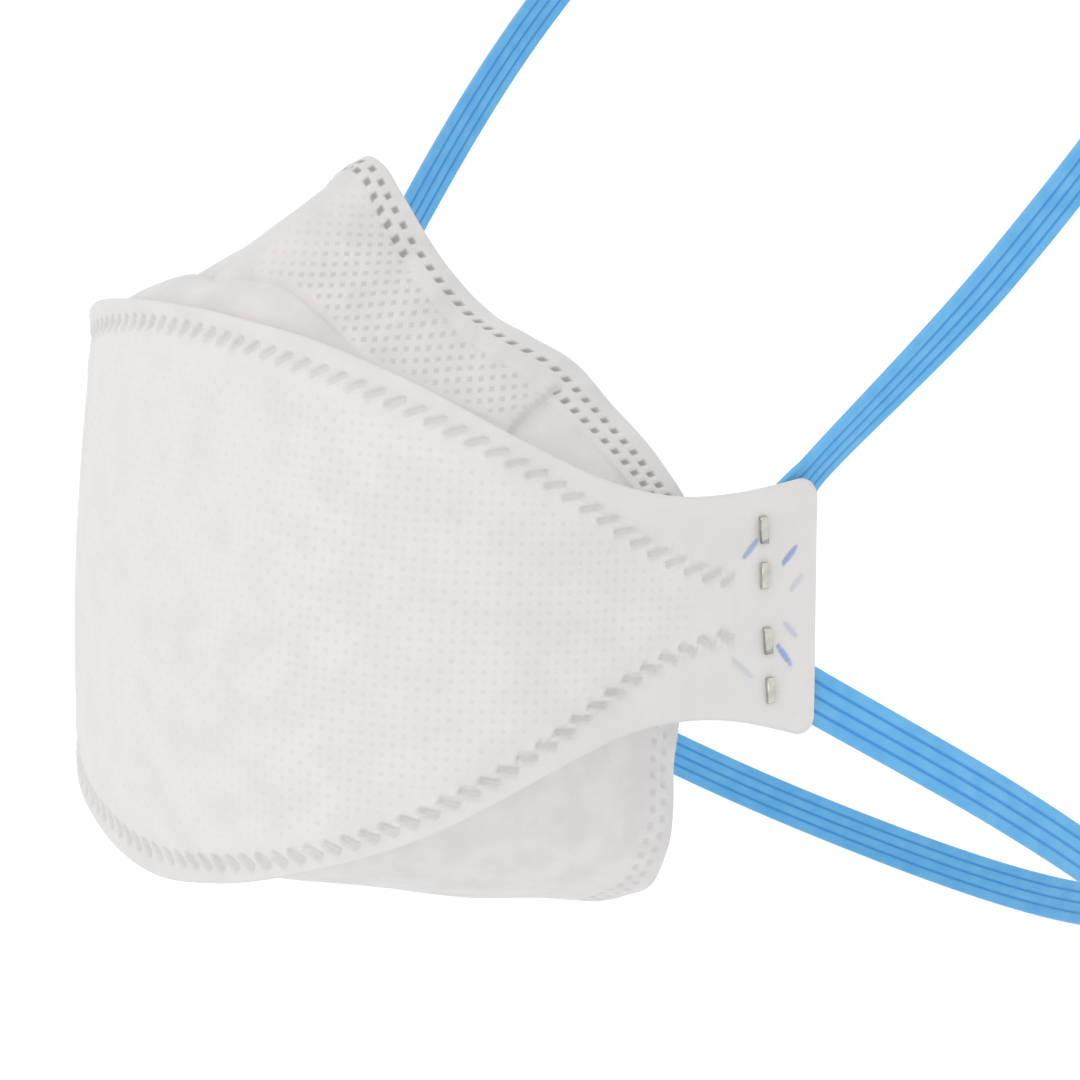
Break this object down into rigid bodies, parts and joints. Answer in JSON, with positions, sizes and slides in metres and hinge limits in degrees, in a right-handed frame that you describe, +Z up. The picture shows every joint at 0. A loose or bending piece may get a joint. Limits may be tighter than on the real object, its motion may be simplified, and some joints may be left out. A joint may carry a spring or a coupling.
{
  "type": "folding respirator mask",
  "caption": "Fold-flat half mask opened as worn: centre panel with cheek tabs, welded nose and chin panels, and ribbed elastic head straps stapled to the tabs.",
  "frame": {"origin": "middle of the face opening, on the plane of symmetry, where the mask sits on the face", "axes": "+Z up, +X to the wearer's left, -Y out of the front of the mask"},
  "size_m": [0.1548, 0.1926, 0.2262],
  "materials": {
    "white_cloth": "matt point-bonded nonwoven",
    "soft_cloth": "matt square-embossed nonwoven",
    "blue_elastic": "satin ribbed elastic",
    "staple_steel": "bright drawn wire"
  },
  "bodies": {
    "root": {"centre_panel": "white_cloth", "top_panel": "soft_cloth", "bottom_panel": "soft_cloth", "upper_head_strap": "blue_elastic", "lower_head_strap": "blue_elastic", "staple_left_upper": "staple_steel", "staple_left_lower": "staple_steel", "staple_right_upper": "staple_steel", "staple_right_lower": "staple_steel"}
  },
  "joints": []
}
